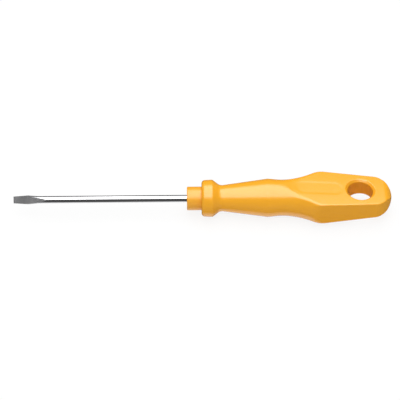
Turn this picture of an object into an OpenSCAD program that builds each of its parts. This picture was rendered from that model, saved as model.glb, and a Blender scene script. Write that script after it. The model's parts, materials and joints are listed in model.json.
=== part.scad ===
// Slotted screwdriver: a steel blade moulded into a two-shot plastic handle.
// The handle is round at the grip and flat at the palm, with a hanging hole through the flats.
// The axis of the tool lies along X. The handle's front face is at X = 0 and the blade points
// to -X. The palm is wide along Y and thin along Z, and the hanging hole runs along Z.

/* [Blade] */
// Length of the blade in front of the handle
blade_l = 75; // [50:1:100]
// Diameter of the round shank
shank_d = 3.1; // [2.5:0.1:3.7]
// Width of the slotted tip at its end
tip_w = 3; // [2:0.1:3.6]
// Thickness of the slotted tip at its end
tip_t = 0.5; // [0.4:0.05:0.8]
// Greatest width of the flare behind the tip
flare_w = 3.8; // [3.7:0.1:4.6]
// Distance from the tip's end to the widest point of the flare
flare_at = 6.3; // [4:0.1:7.5]
// Distance from the tip's end to where the flare has run back into the shank
flare_l = 10.5; // [9:0.1:13]
// Length of the ground flats, from the tip's end to where they fade out
grind_l = 13; // [11:0.5:18]
// Turn of the ground flats about the axis, from the palm's flats
tip_turn = 55; // [0:1:90]

/* [Tang] */
// Length of the tang inside the handle
tang_l = 45; // [37:1:54]
// Width across the wings that are pinched out of the tang
wing_w = 5.2; // [4:0.1:6]
// Thickness of the wings
wing_t = 1.1; // [0.8:0.1:1.6]
// Length of each pair of wings
wing_l = 6.5; // [4:0.5:8]
// Distance from the front face to the front pair of wings
wing_at = 13; // [10:0.5:15.5]
// Distance from one pair of wings to the next
wing_step = 18; // [12:0.5:21.5]

/* [Collar and flange] */
// Diameter of the collar at the front of the core
collar_d = 10.2; // [8:0.1:12.4]
// Length of the collar, from the front face to the flange
collar_l = 6.3; // [4:0.1:8]
// Diameter of the flange's corner at its front
flange_d = 15.7; // [13:0.1:20]
// Length of the flange, up to the corner where its back slope starts
flange_l = 4.7; // [3.5:0.1:6]
// Rise of the flange from front to back, on the radius
flange_rise = 0.2; // [0:0.05:0.4]

/* [Grip] */
// Diameter at the bottom of the neck, before the fillet
neck_d = 11.04; // [9.2:0.02:13.3]
// Length from the flange to the bottom of the neck
neck_l = 3.3; // [2.7:0.1:5]
// Diameter of the crest in the middle of the grip, before it is rounded
crest_d = 16.58; // [13.8:0.02:20]
// Length from the bottom of the neck to the crest
crest_l = 20.6; // [17:0.1:25]
// Diameter of the waist between the crest and the palm
waist_d = 15.6; // [13:0.1:17]
// Length from the crest to the waist
waist_l = 6.3; // [5.2:0.1:8]

/* [Palm] */
// Length of the whole handle
handle_l = 88.4; // [86:0.1:110]
// Length of the shoulder, from the waist to the palm
shoulder_l = 18.2; // [15:0.1:21.9]
// Width of the palm at the end of the shoulder
palm_w = 21.3; // [19:0.1:26]
// Thickness of the palm at the end of the shoulder
palm_t = 11.2; // [10:0.1:13.6]
// Width of the palm at the corners of the butt
butt_w = 17.2; // [15:0.1:18.8]
// Thickness of the palm where the round end of the butt starts
butt_t = 7.8; // [6.6:0.1:10]
// Distance from the butt's end to its corners
butt_corner = 5.8; // [4:0.1:7]
// Width that the butt's slanted corners leave at its end
butt_end_w = 4.9; // [3:0.1:8]
// Length of the straight flats along the shoulder, before they curve up to the waist
flat_l = 9.4; // [7:0.1:11.4]
// Radius of that curve
flat_r = 35; // [25:1:45]

/* [Hanging hole] */
// Diameter of the hanging hole
hole_d = 11; // [8:0.1:13.2]
// Distance from the butt's end to the hole's centre
hole_back = 13.7; // [11.5:0.1:16.5]
// Chamfer on both rims of the hole
hole_chamfer = 0.9; // [0.3:0.1:1.2]

/* [Bare panel] */
// Length of the shallow panel on the palm's upper flat
panel_l = 20; // [10:0.5:21]
// Width of the panel
panel_w = 7; // [5:0.5:9]
// Distance from the end of the shoulder forward to the panel's centre
panel_lead = 2.4; // [1.9:0.1:4]
// Depth of the panel
panel_depth = 0.2; // [0.1:0.05:0.4]

/* [Core] */
// Length of the core's closed end, behind the tang
core_end = 6; // [4:0.5:8]
// Thickness of the outer shell over the core's ribs
shell_wall = 1.3; // [1:0.1:1.8]
// Height of the core's ribs above its round body
rib_h = 1.5; // [0.8:0.1:2]
// Thickness of the core's ribs
rib_t = 2; // [1:0.1:3]

/* [Hidden] */
arc_step = 7; // degrees of arc for each straight piece of a rounded outline
round_fn = 96; // sides of a turned piece on the screen
reach = 30; // half size of the blocks that keep or cut whole regions
past = 1; // how far a cutting outline runs past the piece's end
lead_in = 0.6; // chamfer at the hidden ends of the tang and the core

shank_r = shank_d / 2;
collar_r = collar_d / 2;
neck_r = neck_d / 2;
crest_r = crest_d / 2;
waist_r = waist_d / 2;
flange_r = flange_d / 2;
core_l = tang_l + core_end;

// Places along the axis, from the front face
flange_back = collar_l + flange_l;
neck_at = flange_back + neck_l;
crest_at = neck_at + crest_l;
waist_at = crest_at + waist_l;
palm_at = waist_at + shoulder_l;
flat_at = palm_at - flat_l;
panel_at = palm_at - panel_lead;
hole_at = handle_l - hole_back;

// Radii of the rounded corners in the outlines
flare_round = 3; // at the widest point of the tip's flare
flare_back_round = 8; // where the flare runs back into the shank
flange_front_round = 1.4;
flange_back_round = 0.9;
neck_round = 3;
crest_round = 6;
side_round = 3; // at the palm's sides, where the butt's slanted corners start
butt_round = butt_end_w; // at the butt's end, as wide as the end itself

// The palm's flats fall in thickness, and its sides in width, from the shoulder to the butt.
nose_r = butt_t / 2; // the butt's end is fully rounded in thickness
nose_at = handle_l - nose_r;
corner_at = handle_l - butt_corner;
flat_slope = (palm_t - butt_t) / 2 / (nose_at - palm_at);
side_slope = (palm_w - butt_w) / 2 / (corner_at - palm_at);

// The shoulder rises from the waist to a round form that just holds the palm's corners.
// Two bends make it, the hollow at the waist and the swell above it.
bulb_spare = 0.1; // room between the round form and the palm's corners
hollow_share = 0.72; // share of the two bends' radii that the hollow takes
hollow_reach = 0.6; // share of the way forward to the crest that the hollow takes
bulb_r = norm([palm_w, palm_t]) / 2 + bulb_spare;
shoulder_rise = 2 * atan((bulb_r - waist_r) / shoulder_l);
waist_bend = hollow_share * shoulder_l / sin(shoulder_rise);
shoulder_bend = (1 - hollow_share) * shoulder_l / sin(shoulder_rise);
waist_fall = asin(hollow_reach * waist_l / waist_bend);
waist_front = waist_at - hollow_reach * waist_l;
waist_front_r = waist_r + waist_bend * (1 - cos(waist_fall));

// Half thickness of the palm between its flats, and height of the hole's round wall
function flat_z(x) = palm_t / 2 - flat_slope * (x - palm_at)
    + (x < flat_at ? pow(flat_at - x, 2) / (2 * flat_r) : 0);
hole_wall = 2 * (flat_z(hole_at) - hole_chamfer);
flat_front = waist_at - 4; // where the curve of the flats has left the grip
flat_steps = 8; // straight pieces in the curve of the flats

// Hidden shape of the core, which nothing outside depends on
core_stretch = 1.5; // half length of its straight neck and belly
core_fall = 1.2; // fall of its radius from the belly to its end
rib_front = 6; // distance from the neck to the front of the ribs
rib_back = 3; // distance from the back of the ribs to the core's end
rib_draft = 0.4; // room that the ribs leave below the shell's wall at the crest
rib_fall = 2; // fall of the ribs from the crest to their back

// ---- outlines ----

// Points of an arc about a centre, from one angle to another
function arc(centre, r, from, to) =
    let (n = max(2, ceil(abs(to - from) / arc_step)))
    [for (i = [0 : n]) let (a = from + (to - from) * i / n) centre + r * [cos(a), sin(a)]];

// The corner b between a and c, rounded to radius r
function corner(a, b, c, r) =
    let (
        u = (a - b) / norm(a - b),
        v = (c - b) / norm(c - b),
        half = acos(u * v) / 2,
        centre = b + (u + v) / norm(u + v) * r / sin(half),
        p = b + u * r / tan(half) - centre,
        q = b + v * r / tan(half) - centre,
        from = atan2(p.y, p.x),
        turn = atan2(p.x * q.y - p.y * q.x, p * q)
    )
    arc(centre, r, from, from + turn);

// An open outline through points [x, y, radius], with its inner corners rounded
function rounded(pts) =
    let (last = len(pts) - 1)
    [for (i = [0 : last])
        let (p = [pts[i].x, pts[i].y])
        each i == 0 || i == last || pts[i].z == 0
            ? [p]
            : corner([pts[i - 1].x, pts[i - 1].y], p, [pts[i + 1].x, pts[i + 1].y], pts[i].z)];

// An outline and its mirror image across the X axis, as one closed loop
function mirrored(pts) =
    concat(pts, [for (i = [len(pts) - 1 : -1 : 0]) [pts[i].x, -pts[i].y]]);

// A solid turned about the X axis from an outline of [x, radius] points
module turned(outline) {
    rotate([0, 90, 0])
        rotate_extrude($fn = round_fn)
            polygon([for (p = outline) [p.y, p.x]]);
}

// A block that runs right across the tool along Y, from an outline in X and Z
module across(outline) {
    rotate([90, 0, 0])
        linear_extrude(height = 2 * reach, center = true)
            polygon(outline);
}

// ---- blade ----

// Round body of the blade, from the tip over the flare to the chamfered end of the tang
module blade_round() {
    turned(rounded([
        [-blade_l, 0, 0],
        [-blade_l, tip_w / 2, 0],
        [-blade_l + flare_at, flare_w / 2, flare_round],
        [-blade_l + flare_l, shank_r, flare_back_round],
        [tang_l - lead_in, shank_r, 0],
        [tang_l, shank_r - lead_in, 0],
        [tang_l, 0, 0]
    ]));
}

// All that the two ground flats leave of the blade
module grind_keep() {
    slope = (shank_d - tip_t) / 2 / grind_l;
    full_at = -blade_l + (reach - tip_t / 2) / slope;
    rotate([tip_turn, 0, 0])
        across(mirrored([[-blade_l - past, tip_t / 2 - slope * past], [full_at, reach]]));
}

// One pair of wings, pinched flat out of the round tang
module wings() {
    nip = (wing_w - shank_d) / 2;
    linear_extrude(height = wing_t, center = true)
        polygon(mirrored([
            [0, shank_r / 2],
            [nip, wing_w / 2],
            [wing_l - nip, wing_w / 2],
            [wing_l, shank_r / 2]
        ]));
}

module blade_form() {
    intersection() {
        blade_round();
        grind_keep();
    }
    for (i = [0, 1])
        translate([wing_at + i * wing_step, 0, 0])
            wings();
}

module blade() {
    color("silver")
        blade_form();
}

// ---- handle ----

// Outline of the round form from the flange to the butt, without the palm's flats
function round_outline() = rounded([
    [collar_l, 0, 0],
    [collar_l, flange_r, flange_front_round],
    [flange_back, flange_r + flange_rise, flange_back_round],
    [neck_at, neck_r, neck_round],
    [crest_at, crest_r, crest_round],
    [waist_front, waist_front_r, 0]
]);

// The hollow at the waist, and the shoulder up to the bulb that holds the palm
function shoulder_outline() = concat(
    arc([waist_at, waist_r + waist_bend], waist_bend, 270 - waist_fall, 270 + shoulder_rise),
    arc([palm_at, bulb_r - shoulder_bend], shoulder_bend, 90 + shoulder_rise, 90),
    [[handle_l + past, bulb_r], [handle_l + past, 0]]
);

// Upper edge of the palm seen from the side: the curve up to the waist, the flat, the round end
function flats_outline() = concat(
    [[-past, reach], [flat_front, reach]],
    [for (i = [0 : flat_steps])
        let (x = flat_front + (flat_at - flat_front) * i / flat_steps)
        [x, flat_z(x)]],
    arc([nose_at, 0], nose_r, 90, 0)
);

// Half of the palm seen from above: the tapered side and the slanted, rounded butt
function plan_outline() = rounded([
    [-past, palm_w / 2 + side_slope * (palm_at + past), 0],
    [corner_at, butt_w / 2, side_round],
    [handle_l, butt_end_w / 2, butt_round],
    [handle_l, 0, 0]
]);

module handle_form() {
    grip = round_outline();
    intersection() {
        turned(concat([for (i = [0 : len(grip) - 2]) grip[i]], shoulder_outline()));
        across(mirrored(flats_outline()));
        linear_extrude(height = 2 * reach, center = true)
            polygon(mirrored(plan_outline()));
    }
}

// The hanging hole, with a chamfer at both rims
module hanging_hole() {
    translate([hole_at, 0, 0])
        rotate([0, 90, 0])
            turned([
                [-reach, 0],
                [-reach, hole_d / 2 + reach - hole_wall / 2],
                [-hole_wall / 2, hole_d / 2],
                [hole_wall / 2, hole_d / 2],
                [reach, hole_d / 2 + reach - hole_wall / 2],
                [reach, 0]
            ]);
}

// The shallow bare panel, sunk evenly below the upper flat
module panel_cut() {
    end_r = panel_w / 2;
    end_at = panel_l / 2 - end_r;
    intersection() {
        across(concat(
            [for (p = flats_outline()) if (p.x < nose_at) [p.x, p.y - panel_depth]],
            [[nose_at, reach]]
        ));
        linear_extrude(height = reach)
            polygon(concat(
                arc([panel_at + end_at, 0], end_r, 90, -90),
                arc([panel_at - end_at, 0], end_r, 270, 90)
            ));
    }
}

// Round body of the core: the collar, its taper into the neck, and the body down the grip
function core_outline() =
    let (
        neck = neck_r - shell_wall,
        belly = crest_r - shell_wall - rib_h,
        tail = belly - core_fall
    )
    [
        [0, 0],
        [0, collar_r],
        [collar_l, collar_r],
        [neck_at - core_stretch, neck],
        [neck_at + core_stretch, neck],
        [crest_at - core_stretch, belly],
        [crest_at + core_stretch, belly],
        [core_l - lead_in, tail],
        [core_l, tail - lead_in],
        [core_l, 0]
    ];

// Four ribs that key the shell to the core
module core_ribs() {
    top = crest_r - shell_wall - rib_draft;
    intersection() {
        turned([
            [neck_at + rib_front, 0],
            [neck_at + rib_front, neck_r - shell_wall],
            [crest_at - core_stretch, top],
            [crest_at + core_stretch, top],
            [core_l - rib_back, top - rib_fall],
            [core_l - rib_back, 0]
        ]);
        union() {
            cube([2 * core_l, rib_t, 2 * reach], center = true);
            cube([2 * core_l, 2 * reach, rib_t], center = true);
        }
    }
}

module core_form() {
    turned(core_outline());
    core_ribs();
}

module handle_core() {
    color("orange")
        difference() {
            core_form();
            blade_form();
        }
}

module handle_shell() {
    color("goldenrod")
        difference() {
            handle_form();
            core_form();
            hanging_hole();
            panel_cut();
        }
}

blade();
handle_core();
handle_shell();
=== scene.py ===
# Slotted screwdriver: a plated blade with a satin ground tip, in a yellow two-shot handle.
# All sizes are in millimetres until a mesh is written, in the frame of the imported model.

import json
import math
import bmesh
import bpy
import numpy as np
from mathutils import Matrix, Vector


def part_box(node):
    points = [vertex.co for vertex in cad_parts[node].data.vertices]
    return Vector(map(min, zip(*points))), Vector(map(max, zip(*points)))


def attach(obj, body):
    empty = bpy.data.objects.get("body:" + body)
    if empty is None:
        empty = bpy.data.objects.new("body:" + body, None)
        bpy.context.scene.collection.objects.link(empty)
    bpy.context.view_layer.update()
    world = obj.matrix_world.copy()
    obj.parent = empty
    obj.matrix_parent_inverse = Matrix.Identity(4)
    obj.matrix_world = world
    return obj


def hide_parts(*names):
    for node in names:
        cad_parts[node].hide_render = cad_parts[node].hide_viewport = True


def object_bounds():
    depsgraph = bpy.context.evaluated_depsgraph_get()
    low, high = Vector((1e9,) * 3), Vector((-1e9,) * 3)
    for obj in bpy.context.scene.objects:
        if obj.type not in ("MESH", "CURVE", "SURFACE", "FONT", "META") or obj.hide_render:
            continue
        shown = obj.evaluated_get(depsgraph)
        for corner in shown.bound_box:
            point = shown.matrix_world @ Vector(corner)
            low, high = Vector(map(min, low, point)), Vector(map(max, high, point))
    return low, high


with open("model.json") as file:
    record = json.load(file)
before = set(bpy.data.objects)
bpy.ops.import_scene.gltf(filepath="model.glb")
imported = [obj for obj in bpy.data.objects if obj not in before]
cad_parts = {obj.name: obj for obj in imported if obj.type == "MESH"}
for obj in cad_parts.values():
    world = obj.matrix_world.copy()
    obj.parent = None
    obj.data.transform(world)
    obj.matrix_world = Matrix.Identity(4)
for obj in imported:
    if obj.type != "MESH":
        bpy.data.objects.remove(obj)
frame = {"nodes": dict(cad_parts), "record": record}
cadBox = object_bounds()
mm = 0.001
print("frame loaded:", ", ".join(sorted(frame["nodes"])))

shellLow, shellHigh = (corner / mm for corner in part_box("handle_shell"))
bladeLow, bladeHigh = (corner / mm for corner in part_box("blade"))
coreLow, coreHigh = (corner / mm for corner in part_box("handle_core"))
hangHole = next(m for m in frame["record"]["mounts"] if m["name"] == "hang_hole")


# outlines as lists of (x, y), with each inner corner rounded

def arcPoints(cx, cy, radius, start, stop, step=2.0):
    count = max(3, math.ceil(abs(stop - start) / step))
    angles = np.radians(np.linspace(start, stop, count + 1))
    return [(cx + radius * math.cos(a), cy + radius * math.sin(a)) for a in angles]


def roundedLine(points, step=2.0):
    line = [points[0][:2]]
    for before, (x, y, radius), after in zip(points, points[1:-1], points[2:]):
        if radius == 0:
            line.append((x, y))
            continue
        corner = Vector((x, y))
        u = (Vector(before[:2]) - corner).normalized()
        v = (Vector(after[:2]) - corner).normalized()
        half = u.angle(v) / 2
        centre = corner + (u + v).normalized() * radius / math.sin(half)
        first = corner + u * radius / math.tan(half) - centre
        last = corner + v * radius / math.tan(half) - centre
        start = math.degrees(math.atan2(first.y, first.x))
        turn = math.degrees(math.atan2(first.x * last.y - first.y * last.x, first.dot(last)))
        line += arcPoints(centre.x, centre.y, radius, start, start + turn, step)
    return line + [points[-1][:2]]


def turnedMesh(profile, sides):
    bm = bmesh.new()
    angles = [2 * math.pi * i / sides for i in range(sides)]
    rings = []
    for x, r in profile:
        spots = [(x, r * math.cos(a), r * math.sin(a)) for a in angles] if r > 0 else [(x, 0, 0)]
        rings.append([bm.verts.new(Vector(spot) * mm) for spot in spots])
    for one, two in zip(rings, rings[1:]):
        for i in range(sides):
            j = (i + 1) % sides
            loop = [one[i % len(one)], one[j % len(one)], two[j % len(two)], two[i % len(two)]]
            bm.faces.new(list(dict.fromkeys(loop)))
    bmesh.ops.recalc_face_normals(bm, faces=bm.faces)
    return bm


def plateMesh(bm, outline, thick, axis):
    # a flat plate, its outline in X and either Z or Y, standing on both sides of the axis
    sides = []
    for side in (-thick / 2, thick / 2):
        spots = [(x, side, h) if axis == "Y" else (x, h, side) for x, h in outline]
        sides.append([bm.verts.new(Vector(spot) * mm) for spot in spots])
    made = [bm.faces.new(sides[0]), bm.faces.new(sides[1])]
    for i in range(len(outline)):
        j = (i + 1) % len(outline)
        made.append(bm.faces.new((sides[0][i], sides[0][j], sides[1][j], sides[1][i])))
    bmesh.ops.recalc_face_normals(bm, faces=made)


def addPiece(name, mesh, sharpAngle=35):
    mesh.shade_smooth()
    mesh.set_sharp_from_angle(angle=math.radians(sharpAngle))
    piece = bpy.data.objects.new(name, mesh)
    bpy.context.scene.collection.objects.link(piece)
    return piece


def meshFrom(bm, name):
    mesh = bpy.data.meshes.new(name)
    bm.to_mesh(mesh)
    bm.free()
    return mesh


# camera

cameraLook = {
    "distance": 770, "elevation": 44.25, "roll": -0.49, "aimX": 5.62, "aimDown": 0.70, "fieldWidth": 173.0,
}


def makeCamera(look):
    lift = math.radians(look["elevation"])
    back = Vector((0, -math.cos(lift), math.sin(lift)))
    up = Vector((0, math.sin(lift), math.cos(lift)))
    data = bpy.data.cameras.new("camera")
    data.sensor_width = 36
    data.lens = data.sensor_width * look["distance"] / look["fieldWidth"]
    data.clip_start = 0.01
    camera = bpy.data.objects.new("camera", data)
    aim = Vector((look["aimX"], 0, 0)) - up * look["aimDown"]
    turn = Matrix.Rotation(math.pi / 2 - lift, 4, "X") @ Matrix.Rotation(math.radians(look["roll"]), 4, "Z")
    camera.matrix_world = Matrix.Translation((aim + back * look["distance"]) * mm) @ turn
    bpy.context.scene.collection.objects.link(camera)
    bpy.context.scene.camera = camera


makeCamera(cameraLook)
print("camera set")


# handle shell: the imported solid is remeshed finely, then the points near its outside are drawn onto the
# moulded surface and the bore's points onto its cylinder

shellLook = {
    "collarLength": shellLow.x, "length": shellHigh.x,
    "flangeRadius": 7.85, "flangeBackRadius": 8.05, "flangeLength": 4.7, "flangeLead": 2.0,
    "flangeFrontRound": 1.4, "flangeBackRound": 0.9,
    "neckRadius": 5.52, "neckLength": 3.3, "neckRound": 3.0,
    "crestRadius": 8.29, "crestLength": 20.6, "crestRound": 6.0,
    "waistRadius": 7.8, "waistLength": 6.3, "shoulderLength": 18.2,
    "palmWidth": 21.3, "palmThick": 11.2, "buttWidth": 17.2, "buttThick": 7.8,
    "buttCorner": 5.8, "endLength": 6.9, "endPower": 1.66, "crown": 0.12,
    "flatLength": 9.4, "flatBend": 35.0, "hollowShare": 0.72, "hollowReach": 0.6, "bulbSpare": 0.1,
    "tableEnd": 3.0, "tableStep": 0.05,
    "panelLength": 20.0, "panelWidth": 7.0, "panelLead": 2.4, "panelDepth": 0.06, "panelSoft": 0.8,
    "holeX": hangHole["pos_m"][0] / mm, "holeRadius": hangHole["dims"]["r_mm"],
    "rimBevel": 0.95, "underBevel": 1.4,
    "edgeRound": 0.5, "shoulderBlend": 0.8, "sideBlend": 0.9, "bevelBlend": 0.15,
    "cell": 0.3, "evenRounds": 5, "reach": 0.9, "boreRadius": 5.1, "boreSpare": 1.0, "normalNudge": 0.05,
}


def gripTable(look):
    # radius of the round form along the axis, from the flange to the bulb that holds the palm
    flangeBack = look["collarLength"] + look["flangeLength"]
    neckAt = flangeBack + look["neckLength"]
    crestAt = neckAt + look["crestLength"]
    waistAt = crestAt + look["waistLength"]
    palmAt = waistAt + look["shoulderLength"]
    bulb = math.hypot(look["palmWidth"], look["palmThick"]) / 2 + look["bulbSpare"]
    rise = 2 * math.atan((bulb - look["waistRadius"]) / look["shoulderLength"])
    bends = look["shoulderLength"] / math.sin(rise)
    hollow, swell = look["hollowShare"] * bends, (1 - look["hollowShare"]) * bends
    reach = look["hollowReach"] * look["waistLength"]
    fall = math.asin(reach / hollow)
    # the flange's cone goes on in front of its face, where the face then cuts it
    lead = (look["flangeBackRadius"] - look["flangeRadius"]) / look["flangeLength"] * look["flangeLead"]
    points = roundedLine([
        (look["collarLength"] - look["flangeLead"], look["flangeRadius"] - lead, 0),
        (flangeBack, look["flangeBackRadius"], look["flangeBackRound"]),
        (neckAt, look["neckRadius"], look["neckRound"]),
        (crestAt, look["crestRadius"], look["crestRound"]),
        (waistAt - reach, look["waistRadius"] + hollow * (1 - math.cos(fall)), 0),
    ])[:-1]
    riseTurn, fallTurn = math.degrees(rise), math.degrees(fall)
    points += arcPoints(waistAt, look["waistRadius"] + hollow, hollow, 270 - fallTurn, 270 + riseTurn, 0.5)
    points += arcPoints(palmAt, bulb - swell, swell, 90 + riseTurn, 90, 0.5)
    points.append((look["length"] + look["tableEnd"], bulb))
    return np.array(points), palmAt


gripLine, palmAt = gripTable(shellLook)
gripX = np.arange(gripLine[0, 0], gripLine[-1, 0], shellLook["tableStep"])
gripRadius = np.interp(gripX, gripLine[:, 0], gripLine[:, 1])
gripLean = 1 / np.hypot(1, np.gradient(gripRadius, gripX))


def both(one, two, radius, cosTurn=0.0):
    # inside both forms, with their common edge rounded; cosTurn is the cosine between their outward normals
    a, b = one + radius, two + radius
    corner = np.sqrt(np.maximum(a * a + b * b - 2 * a * b * cosTurn, 0) / (1 - cosTurn ** 2))
    return np.where((a > b * cosTurn) & (b > a * cosTurn), corner, np.maximum(a, b)) - radius


def bothSoft(one, two, width):
    near = np.maximum(width - np.abs(one - two), 0)
    return np.maximum(one, two) + near * near / (4 * width)


def ease(value, low, high):
    t = np.clip((value - low) / (high - low), 0, 1)
    return t * t * (3 - 2 * t)


def planGap(x, y, look):
    # the palm's outline seen along the hanging hole: straight tapered sides that run into an oval end
    taper = (look["palmWidth"] - look["buttWidth"]) / 2 / (look["length"] - look["buttCorner"] - palmAt)
    half = look["palmWidth"] / 2 - taper * (x - palmAt)
    power = look["endPower"]
    along = np.maximum(x - look["length"] + look["endLength"], 0) / look["endLength"]
    across = np.abs(y) / half
    form = np.maximum((along ** power + across ** power) ** (1 / power), 0.05)
    leanX = along ** (power - 1) / look["endLength"] + across ** power * taper / half
    leanY = across ** (power - 1) / half
    return (form - 1) / np.maximum(form ** (1 - power) * np.hypot(leanX, leanY), 0.05)


def shellGap(points, look):
    # distance of each point from the shell's outer surface, negative inside
    x, y, z = points.T
    slope = (look["palmThick"] - look["buttThick"]) / (2 * (look["length"] - palmAt) - look["buttThick"])
    level = 1 / math.hypot(1, slope)
    nose = (look["palmThick"] / 2 - slope * (look["length"] - palmAt)) * level / (1 - slope * level)
    noseAt = look["length"] - nose
    half = look["palmThick"] / 2 - slope * (x - palmAt)
    half += np.maximum(palmAt - look["flatLength"] - x, 0) ** 2 / (2 * look["flatBend"])
    panelSpan = look["panelLength"] / 2 - look["panelWidth"] / 2
    along = np.maximum(np.abs(x - (palmAt - look["panelLead"])) - panelSpan, 0)
    panel = np.hypot(along, y) - look["panelWidth"] / 2
    sunk = look["panelDepth"] * (1 - ease(panel, -look["panelSoft"], look["panelSoft"]))
    reach = np.hypot(x - noseAt, z)
    onNose = x - noseAt > slope * np.abs(z)
    flats = np.where(onNose, reach - nose, (np.abs(z) - half) * level + np.where(z > 0, sunk, 0))
    flats += look["crown"] * (2 * y / look["palmWidth"]) ** 2

    plan = planGap(x, y, look)
    nudge = 0.01
    planLean = (planGap(x + nudge, y, look) - planGap(x - nudge, y, look)) / (2 * nudge)
    noseLean = np.maximum(x - noseAt, 0) / np.maximum(reach, 0.1)
    palm = both(plan, flats, look["edgeRound"], np.clip(planLean * noseLean, 0, 0.98))

    radius = np.interp(x, gripX, gripRadius)
    turned = (np.hypot(y, z) - radius) * np.interp(x, gripX, gripLean)
    joined = np.maximum.reduce([
        palm, bothSoft(flats, turned, look["shoulderBlend"]), bothSoft(plan, turned, look["sideBlend"]),
    ])
    body = both(joined, look["collarLength"] - x, look["flangeFrontRound"])
    hole = look["holeRadius"] - np.hypot(x - look["holeX"], y)
    bevel = (body + hole + np.where(z > 0, look["rimBevel"], look["underBevel"])) / math.sqrt(2)
    return bothSoft(np.maximum(body, hole), bevel, look["bevelBlend"])


def shellSlope(points, look, nudge=0.01):
    steps = np.eye(3) * nudge
    rise = [shellGap(points + step, look) - shellGap(points - step, look) for step in steps]
    return np.stack(rise, axis=1) / (2 * nudge)


def drawOnto(points, look, rounds=4):
    for _ in range(rounds):
        slope = shellSlope(points, look)
        points = points - slope * (shellGap(points, look) / np.maximum((slope ** 2).sum(1), 0.25))[:, None]
    return points


def makeShell(look):
    source = frame["nodes"]["handle_shell"]
    rough = bpy.data.objects.new("roughShell", source.data.copy())
    bpy.context.scene.collection.objects.link(rough)
    remesh = rough.modifiers.new("remesh", "REMESH")
    remesh.mode = "VOXEL"
    remesh.voxel_size = look["cell"] * mm
    bpy.context.view_layer.update()
    evaluated = rough.evaluated_get(bpy.context.evaluated_depsgraph_get())
    mesh = bpy.data.meshes.new_from_object(evaluated)
    bpy.data.objects.remove(rough)

    count = len(mesh.vertices)
    flat = np.zeros(count * 3)
    mesh.vertices.foreach_get("co", flat)
    points = flat.reshape(-1, 3) / mm
    ends = np.zeros(len(mesh.edges) * 2, int)
    mesh.edges.foreach_get("vertices", ends)
    ends = ends.reshape(-1, 2)

    radial = np.hypot(points[:, 1], points[:, 2])
    inFront = points[:, 0] < look["collarLength"] + look["boreSpare"]
    bore = (radial < look["boreRadius"] + look["cell"] / 2) & inFront
    outer = (shellGap(points, look) > -look["reach"]) & ~bore
    points[outer] = drawOnto(points[outer], look)
    for _ in range(look["evenRounds"]):  # evens out the spacing, then draws the points back on
        total, share = np.zeros_like(points), np.zeros(count)
        for a, b in ((0, 1), (1, 0)):
            np.add.at(total, ends[:, a], points[ends[:, b]])
            np.add.at(share, ends[:, a], 1)
        even = (points + total / share[:, None]) / 2
        points[outer] = drawOnto(even[outer], look, 2)
    points[bore, 1:] *= (look["boreRadius"] / radial[bore])[:, None]

    mesh.vertices.foreach_set("co", (points * mm).ravel())
    mesh.update()
    mesh.name = "shell"
    piece = addPiece("shell", mesh, 50)
    normals = np.zeros(count * 3)
    mesh.vertices.foreach_get("normal", normals)
    normals = normals.reshape(-1, 3)
    # the surface's own slope gives smoother reflections than the faces do
    slope = shellSlope(points[outer], look, look["normalNudge"])
    normals[outer] = slope / np.maximum(np.linalg.norm(slope, axis=1), 0.1)[:, None]
    mesh.normals_split_custom_set_from_vertices(normals)
    return piece


shell = makeShell(shellLook)
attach(shell, "root")
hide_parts("handle_shell")
print("shell:", len(shell.data.polygons), "faces")


# handle core: the collar that shows, and the ribbed body inside the shell

coreLook = {
    "collarRadius": shellLook["boreRadius"], "collarLength": shellLow.x, "frontRound": 0.4,
    "lipDepth": 0.25, "lipWidth": 0.22, "lipRound": 0.1,
    "neckAt": 14.3, "neckRadius": 4.22, "bellyAt": 34.9, "bellyRadius": 5.49, "straight": 1.5,
    "tailRadius": 4.29, "length": coreHigh.x, "leadIn": 0.6, "boreRadius": 1.55, "boreLength": bladeHigh.x,
    "ribThick": 2.0, "ribFront": 20.3, "ribTop": 6.59, "ribBack": 48.0, "ribFall": 2.0, "ribRoot": 1.0,
    "sides": 96,
}


def makeCore(look):
    bore, tail = look["boreRadius"], look["tailRadius"]
    profile = roundedLine([
        (look["boreLength"], 0, 0),
        (look["boreLength"], bore, 0),
        (look["lipDepth"], bore, 0),
        (0, bore + look["lipWidth"], look["lipRound"]),
        (0, look["collarRadius"], look["frontRound"]),
        (look["collarLength"], look["collarRadius"], 0),
        (look["neckAt"] - look["straight"], look["neckRadius"], 0),
        (look["neckAt"] + look["straight"], look["neckRadius"], 0),
        (look["bellyAt"] - look["straight"], look["bellyRadius"], 0),
        (look["bellyAt"] + look["straight"], look["bellyRadius"], 0),
        (look["length"] - look["leadIn"], tail, 0),
        (look["length"], tail - look["leadIn"], 0),
        (look["length"], 0, 0),
    ], 15)
    bm = turnedMesh(profile, look["sides"])
    for axis in ("Y", "Z"):
        for side in (-1, 1):
            plateMesh(bm, [
                (look["ribFront"], side * (look["neckRadius"] - look["ribRoot"] / 2)),
                (look["bellyAt"] - look["straight"], side * look["ribTop"]),
                (look["bellyAt"] + look["straight"], side * look["ribTop"]),
                (look["ribBack"], side * (look["ribTop"] - look["ribFall"])),
                (look["ribBack"], side * (tail - look["ribRoot"])),
                (look["ribFront"], side * (look["neckRadius"] - look["ribRoot"])),
            ], look["ribThick"], axis)
    return addPiece("core", meshFrom(bm, "core"))


core = makeCore(coreLook)
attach(core, "root")
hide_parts("handle_core")
print("core:", len(core.data.polygons), "faces")


# blade: plated round shank, flared tip with two ground flats, and the winged tang inside the handle

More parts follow.
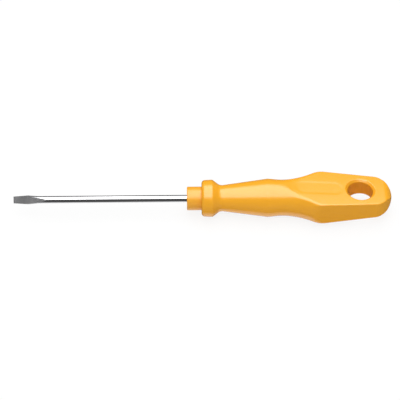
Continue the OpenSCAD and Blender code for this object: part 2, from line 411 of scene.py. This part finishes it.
bladeLook = {
    "tipX": bladeLow.x, "tangX": bladeHigh.x, "radius": coreLook["boreRadius"],
    "tipWidth": 2.92, "tipThick": 0.5, "tipRound": 0.06,
    "flareWidth": 3.8, "flareAt": 6.3, "flareLength": 10.5, "flareRound": 3.0, "flareBackRound": 8.0,
    "grindLength": 14.2, "tipTurn": 55.0, "leadIn": 0.6, "sides": 128,
    "wingWidth": 5.2, "wingThick": 1.1, "wingLength": 6.5, "wingAt": 13.0, "wingStep": 18.0, "wingPairs": 2,
}


def makeBlade(look):
    tip, tang, radius = look["tipX"], look["tangX"], look["radius"]
    profile = roundedLine([
        (tip, 0, 0),
        (tip, look["tipWidth"] / 2, look["tipRound"]),
        (tip + look["flareAt"], look["flareWidth"] / 2, look["flareRound"]),
        (tip + look["flareLength"], radius, look["flareBackRound"]),
        (tang - look["leadIn"], radius, 0),
        (tang, radius - look["leadIn"], 0),
        (tang, 0, 0),
    ], 4)
    bm = turnedMesh(profile, look["sides"])
    slope = (2 * radius - look["tipThick"]) / 2 / look["grindLength"]
    turn = math.radians(look["tipTurn"])
    for side in (-1, 1):
        away = Vector((0, -math.sin(turn), math.cos(turn))) * side
        spot = Vector((tip, 0, 0)) + away * look["tipThick"] / 2
        normal = (away - Vector((slope, 0, 0))).normalized()
        parts = bm.verts[:] + bm.edges[:] + bm.faces[:]
        cut = bmesh.ops.bisect_plane(bm, geom=parts, plane_co=spot * mm, plane_no=normal, clear_outer=True)
        rim = [part for part in cut["geom_cut"] if isinstance(part, bmesh.types.BMEdge)]
        for face in bmesh.ops.contextual_create(bm, geom=rim)["faces"]:
            face.material_index = 1
    nip, wing = look["wingWidth"] / 2 - radius, look["wingWidth"] / 2
    for i in range(look["wingPairs"]):
        start = look["wingAt"] + i * look["wingStep"]
        end = start + look["wingLength"]
        plateMesh(bm, [
            (start, -radius / 2), (start + nip, -wing), (end - nip, -wing), (end, -radius / 2),
            (end, radius / 2), (end - nip, wing), (start + nip, wing), (start, radius / 2),
        ], look["wingThick"], "Z")
    piece = addPiece("blade", meshFrom(bm, "blade"), 30)
    for face in piece.data.polygons:  # the ground flats stay flat up to their rims
        face.use_smooth = face.material_index == 0
    return piece


bladePiece = makeBlade(bladeLook)
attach(bladePiece, "root")
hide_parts("blade")
print("blade:", len(bladePiece.data.polygons), "faces")


# shader helpers

def addNode(tree, kind, **values):
    node = tree.nodes.new("ShaderNode" + kind)
    for name, value in values.items():
        setattr(node, name, value)
    return node


def newGroup(name, ins, outs):
    tree = bpy.data.node_groups.new(name, "ShaderNodeTree")
    for label, kind, value in ins:
        socket = tree.interface.new_socket(name=label, in_out="INPUT", socket_type="NodeSocket" + kind)
        if value is not None:
            socket.default_value = value
    for label in outs:
        tree.interface.new_socket(name=label, in_out="OUTPUT", socket_type="NodeSocketFloat")
    return tree, tree.nodes.new("NodeGroupInput"), tree.nodes.new("NodeGroupOutput")


def math2(tree, operation, one, two=None):
    node = addNode(tree, "Math", operation=operation)
    for socket, value in zip(node.inputs, (one, two)):
        if isinstance(value, (int, float)):
            socket.default_value = value
        elif value is not None:
            tree.links.new(value, socket)
    return node.outputs[0]


def mapRange(tree, value, low, high, toLow=0.0, toHigh=1.0):
    node = addNode(tree, "MapRange")
    for socket, given in zip(node.inputs, (value, low, high, toLow, toHigh)):
        if isinstance(given, (int, float)):
            socket.default_value = given
        else:
            tree.links.new(given, socket)
    return node.outputs[0]


def noise(tree, vector, scale, detail=2.0, roughness=0.5):
    node = addNode(tree, "TexNoise")
    node.inputs["Detail"].default_value = detail
    node.inputs["Roughness"].default_value = roughness
    tree.links.new(vector, node.inputs["Vector"])
    if isinstance(scale, (int, float)):
        node.inputs["Scale"].default_value = scale
    else:
        tree.links.new(scale, node.inputs["Scale"])
    return node.outputs["Fac"]


def makeMouldedSkin():
    # the skin of a moulded part: soft flow marks, a very fine grain, handling smudges and hairlines
    tree, given, result = newGroup("mouldedSkin", [
        ("Vector", "Vector", None), ("Flow Scale", "Float", 90.0), ("Grain Scale", "Float", 2600.0),
        ("Hairline Width", "Float", 0.006),
    ], ["Flow", "Grain", "Smudge", "Hairline"])
    vector = given.outputs["Vector"]
    stretch = addNode(tree, "Mapping")
    stretch.inputs["Scale"].default_value = (0.35, 1.0, 1.0)
    tree.links.new(vector, stretch.inputs["Vector"])
    flow = noise(tree, stretch.outputs[0], given.outputs["Flow Scale"], 3.0, 0.55)
    tree.links.new(mapRange(tree, flow, 0.3, 0.7), result.inputs["Flow"])
    tree.links.new(noise(tree, vector, given.outputs["Grain Scale"], 2.0, 0.6), result.inputs["Grain"])
    smudge = noise(tree, vector, 260.0, 4.0, 0.6)
    tree.links.new(mapRange(tree, smudge, 0.2, 0.8), result.inputs["Smudge"])
    slide = addNode(tree, "Mapping")
    slide.inputs["Rotation"].default_value = (0.3, 0.5, 0.9)
    slide.inputs["Scale"].default_value = (60.0, 900.0, 900.0)
    tree.links.new(vector, slide.inputs["Vector"])
    cells = addNode(tree, "TexVoronoi", feature="DISTANCE_TO_EDGE")
    cells.inputs["Scale"].default_value = 0.35
    tree.links.new(slide.outputs[0], cells.inputs["Vector"])
    line = mapRange(tree, cells.outputs["Distance"], 0.0, given.outputs["Hairline Width"], 1.0, 0.0)
    tree.links.new(line, result.inputs["Hairline"])
    return tree


def makeEdgeRub():
    # a mask of the convex edges that hands and tool racks rub, broken up by noise
    tree, given, result = newGroup("edgeRub", [
        ("Vector", "Vector", None), ("Edge From", "Float", 0.55), ("Edge To", "Float", 0.66),
        ("Break Scale", "Float", 700.0),
    ], ["Rub"])
    point = addNode(tree, "NewGeometry").outputs["Pointiness"]
    edge = mapRange(tree, point, given.outputs["Edge From"], given.outputs["Edge To"])
    broken = noise(tree, given.outputs["Vector"], given.outputs["Break Scale"], 4.0, 0.65)
    tree.links.new(math2(tree, "MULTIPLY", edge, mapRange(tree, broken, 0.4, 0.65)), result.inputs["Rub"])
    return tree


def makeGrindLines():
    # fine tool marks, drawn out along the axis whose line scale is the smallest
    tree, given, result = newGroup("grindLines", [
        ("Vector", "Vector", None), ("Line Scale", "Vector", (1.0, 1.0, 1.0)), ("Contrast", "Float", 1.0),
    ], ["Lines", "Patch"])
    stretch = addNode(tree, "VectorMath", operation="MULTIPLY")
    tree.links.new(given.outputs["Vector"], stretch.inputs[0])
    tree.links.new(given.outputs["Line Scale"], stretch.inputs[1])
    lines = noise(tree, stretch.outputs[0], 1.0, 3.0, 0.7)
    centred = math2(tree, "MULTIPLY", math2(tree, "SUBTRACT", lines, 0.5), given.outputs["Contrast"])
    tree.links.new(math2(tree, "ADD", centred, 0.5), result.inputs["Lines"])
    patch = noise(tree, given.outputs["Vector"], 220.0, 3.0, 0.6)
    tree.links.new(mapRange(tree, patch, 0.35, 0.7), result.inputs["Patch"])
    return tree


mouldedSkin, edgeRub, grindLines = makeMouldedSkin(), makeEdgeRub(), makeGrindLines()


def newMaterial(name):
    material = bpy.data.materials.new(name)
    material.use_nodes = True
    tree = material.node_tree
    shader = tree.nodes["Principled BSDF"]
    place = addNode(tree, "TexCoord").outputs["Object"]
    return material, tree, shader, place


def useGroup(tree, group, vector, **values):
    node = addNode(tree, "Group", node_tree=group)
    tree.links.new(vector, node.inputs["Vector"])
    for name, value in values.items():
        node.inputs[name].default_value = value
    return node


def mixColour(tree, factor, one, two):
    node = addNode(tree, "Mix", data_type="RGBA")
    tree.links.new(factor, node.inputs["Factor"])
    for socket, value in ((node.inputs[6], one), (node.inputs[7], two)):
        if isinstance(value, tuple):
            socket.default_value = value + (1.0,)
        else:
            tree.links.new(value, socket)
    return node.outputs[2]


def addBump(tree, shader, height, depth, strength):
    bump = addNode(tree, "Bump")
    bump.inputs["Strength"].default_value = strength
    bump.inputs["Distance"].default_value = depth * mm
    tree.links.new(height, bump.inputs["Height"])
    tree.links.new(bump.outputs[0], shader.inputs["Normal"])


# plastics

shellPaint = {
    "colour": (0.92, 0.400, 0.012), "flowColour": (0.94, 0.425, 0.016), "rubColour": (0.95, 0.50, 0.08),
    "smooth": 0.20, "dull": 0.265, "specular": 0.85, "grainDepth": 0.012, "grainStrength": 0.5,
    "flowScale": 90.0, "flowShare": 0.8, "rubShare": 0.25, "rubRough": 0.02, "hairDepth": -0.1,
}
corePaint = dict(shellPaint, colour=(0.90, 0.390, 0.012), flowScale=140.0, smooth=0.30, dull=0.40)


def plastic(name, paint):
    material, tree, shader, place = newMaterial(name)
    skin = useGroup(tree, mouldedSkin, place, **{"Flow Scale": paint["flowScale"]})
    rub = useGroup(tree, edgeRub, place).outputs["Rub"]
    flow = math2(tree, "MULTIPLY", skin.outputs["Flow"], paint["flowShare"])
    body = mixColour(tree, flow, paint["colour"], paint["flowColour"])
    rubbed = math2(tree, "MULTIPLY", rub, paint["rubShare"])
    tree.links.new(mixColour(tree, rubbed, body, paint["rubColour"]), shader.inputs["Base Color"])
    rough = mapRange(tree, skin.outputs["Smudge"], 0.0, 1.0, paint["smooth"], paint["dull"])
    worn = math2(tree, "MULTIPLY", rub, paint["rubRough"])
    tree.links.new(math2(tree, "ADD", rough, worn), shader.inputs["Roughness"])
    shader.inputs["Specular IOR Level"].default_value = paint["specular"]
    hair = math2(tree, "MULTIPLY", skin.outputs["Hairline"], paint["hairDepth"])
    grain = math2(tree, "ADD", skin.outputs["Grain"], hair)
    addBump(tree, shader, grain, paint["grainDepth"], paint["grainStrength"])
    return material


shell.data.materials.clear()
shell.data.materials.append(plastic("shellPlastic", shellPaint))
core.data.materials.append(plastic("corePlastic", corePaint))


# steel

steelPaint = {
    "plated": (0.66, 0.66, 0.67), "patchTone": 0.96, "satin": (0.44, 0.44, 0.45),
    "polish": 0.10, "polishSpread": 0.05, "satinRough": 0.34, "satinEnd": 10.0, "platedStart": 12.5,
    "lineScale": (9000.0, 500.0, 500.0), "contrast": 0.8, "lineDepth": 0.004, "lineStrength": 0.4,
}
groundPaint = {
    "bright": (0.66, 0.66, 0.67), "dark": (0.52, 0.52, 0.53), "rough": 0.42, "roughSpread": 0.05,
    "lineScale": (7000.0, 700.0, 700.0), "contrast": 1.2, "lineDepth": 0.010, "lineStrength": 0.6,
}


def toolMarks(tree, place, paint):
    values = {"Line Scale": paint["lineScale"], "Contrast": paint["contrast"]}
    return useGroup(tree, grindLines, place, **values)


def platedSteel(paint):
    material, tree, shader, place = newMaterial("platedSteel")
    lines = toolMarks(tree, place, paint)
    spot = addNode(tree, "SeparateXYZ")
    tree.links.new(place, spot.inputs[0])
    platedStart, satinEnd = ((bladeLow.x + paint[key]) * mm for key in ("platedStart", "satinEnd"))
    satin = mapRange(tree, spot.outputs["X"], platedStart, satinEnd)
    duller = tuple(c * paint["patchTone"] for c in paint["plated"])
    tone = mixColour(tree, lines.outputs["Patch"], paint["plated"], duller)
    tree.links.new(mixColour(tree, satin, tone, paint["satin"]), shader.inputs["Base Color"])
    rougher = paint["polish"] + paint["polishSpread"]
    polish = mapRange(tree, lines.outputs["Patch"], 0.0, 1.0, paint["polish"], rougher)
    extra = math2(tree, "MULTIPLY", satin, paint["satinRough"] - paint["polish"])
    tree.links.new(math2(tree, "ADD", polish, extra), shader.inputs["Roughness"])
    shader.inputs["Metallic"].default_value = 1.0
    addBump(tree, shader, lines.outputs["Lines"], paint["lineDepth"], paint["lineStrength"])
    return material


def groundSteel(paint):
    material, tree, shader, place = newMaterial("groundSteel")
    lines = toolMarks(tree, place, paint)
    tone = mixColour(tree, lines.outputs["Lines"], paint["dark"], paint["bright"])
    tree.links.new(tone, shader.inputs["Base Color"])
    low, high = paint["rough"] - paint["roughSpread"], paint["rough"] + paint["roughSpread"]
    rough = mapRange(tree, lines.outputs["Patch"], 0.0, 1.0, low, high)
    tree.links.new(rough, shader.inputs["Roughness"])
    shader.inputs["Metallic"].default_value = 1.0
    addBump(tree, shader, lines.outputs["Lines"], paint["lineDepth"], paint["lineStrength"])
    return material


bladePiece.data.materials.append(platedSteel(steelPaint))
bladePiece.data.materials.append(groundSteel(groundPaint))
print("materials set")


# studio

studio = {
    "floorSize": 6000, "paper": 0.9, "bounce": 0.74, "matt": 0.9, "cameraShare": 0.88, "fill": 0.42,
    "boxHeight": 620, "boxFront": -540, "boxBack": 530, "boxWide": 620, "boxGlow": 2.5,
    "roomDark": 0.1, "tentTo": 1.03, "tentFade": 1.22, "paperTo": 0.45, "paperFade": 0.62,
}


def seenRays(tree):
    # 1 for the rays that show the background: straight to the camera, mirrored or through glass
    path = addNode(tree, "LightPath")
    seen = math2(tree, "MAXIMUM", path.outputs["Is Camera Ray"], path.outputs["Is Glossy Ray"])
    return path, math2(tree, "MAXIMUM", seen, path.outputs["Is Transmission Ray"])


def makeFloor(look):
    size = look["floorSize"] / 2 * mm
    low = cadBox[0].z
    mesh = bpy.data.meshes.new("floor")
    corners = [(x * size, y * size, low) for x, y in ((-1, -1), (1, -1), (1, 1), (-1, 1))]
    mesh.from_pydata(corners, [], [(0, 1, 2, 3)])
    floor = bpy.data.objects.new("floor", mesh)
    bpy.context.scene.collection.objects.link(floor)
    material, tree, shader, place = newMaterial("floorPaper")
    path, seen = seenRays(tree)
    shade = mixColour(tree, path.outputs["Is Diffuse Ray"], (look["paper"],) * 3, (look["bounce"],) * 3)
    tree.links.new(shade, shader.inputs["Base Color"])
    shader.inputs["Roughness"].default_value = look["matt"]
    shader.inputs["Specular IOR Level"].default_value = 0.0
    glow = addNode(tree, "Emission")
    mix = addNode(tree, "MixShader")
    tree.links.new(math2(tree, "MULTIPLY", seen, look["cameraShare"]), mix.inputs[0])
    tree.links.new(shader.outputs[0], mix.inputs[1])
    tree.links.new(glow.outputs[0], mix.inputs[2])
    tree.links.new(mix.outputs[0], tree.nodes["Material Output"].inputs["Surface"])
    mesh.materials.append(material)
    floor.visible_glossy = False  # the world shows it to mirrored rays


def makeWorld(look):
    world = bpy.data.worlds.new("studio")
    world.use_nodes = True
    bpy.context.scene.world = world
    tree = world.node_tree
    background = tree.nodes["Background"]
    way = addNode(tree, "SeparateXYZ")
    tree.links.new(addNode(tree, "TexCoord").outputs["Generated"], way.inputs[0])
    # a mirrored ray sees the tent above and the paper below, each a disc, with a dark room around them
    flat = [math2(tree, "MULTIPLY", way.outputs[axis], way.outputs[axis]) for axis in ("X", "Y")]
    spread = math2(tree, "SQRT", math2(tree, "ADD", *flat))
    height = math2(tree, "ADD", math2(tree, "ABSOLUTE", way.outputs["Z"]), 0.001)
    ring = math2(tree, "DIVIDE", spread, height)
    tent = mapRange(tree, ring, look["tentTo"], look["tentFade"], 1.0, look["roomDark"])
    paper = mapRange(tree, ring, look["paperTo"], look["paperFade"], 1.0, look["roomDark"])
    below = math2(tree, "LESS_THAN", way.outputs["Z"], 0.0)
    shade = mapRange(tree, below, 0.0, 1.0, tent, paper)
    path, seen = seenRays(tree)
    glossy = mapRange(tree, path.outputs["Is Glossy Ray"], 0.0, 1.0, 1.0, shade)
    tree.links.new(mapRange(tree, seen, 0.0, 1.0, look["fill"], glossy), background.inputs["Strength"])
    background.inputs["Color"].default_value = (1, 1, 1, 1)


def makeSoftbox(look):
    data = bpy.data.lights.new("softbox", "AREA")
    data.shape = "RECTANGLE"
    data.size = look["boxWide"] * mm
    data.size_y = (look["boxBack"] - look["boxFront"]) * mm
    data.energy = look["boxGlow"] * math.pi * data.size * data.size_y
    lamp = bpy.data.objects.new("softbox", data)
    middle = (look["boxFront"] + look["boxBack"]) / 2
    lamp.location = Vector((cameraLook["aimX"], middle, look["boxHeight"])) * mm
    lamp.visible_camera = False
    bpy.context.scene.collection.objects.link(lamp)


makeFloor(studio)
makeWorld(studio)
makeSoftbox(studio)
bpy.context.scene.view_settings.view_transform = "Standard"
print("studio set")
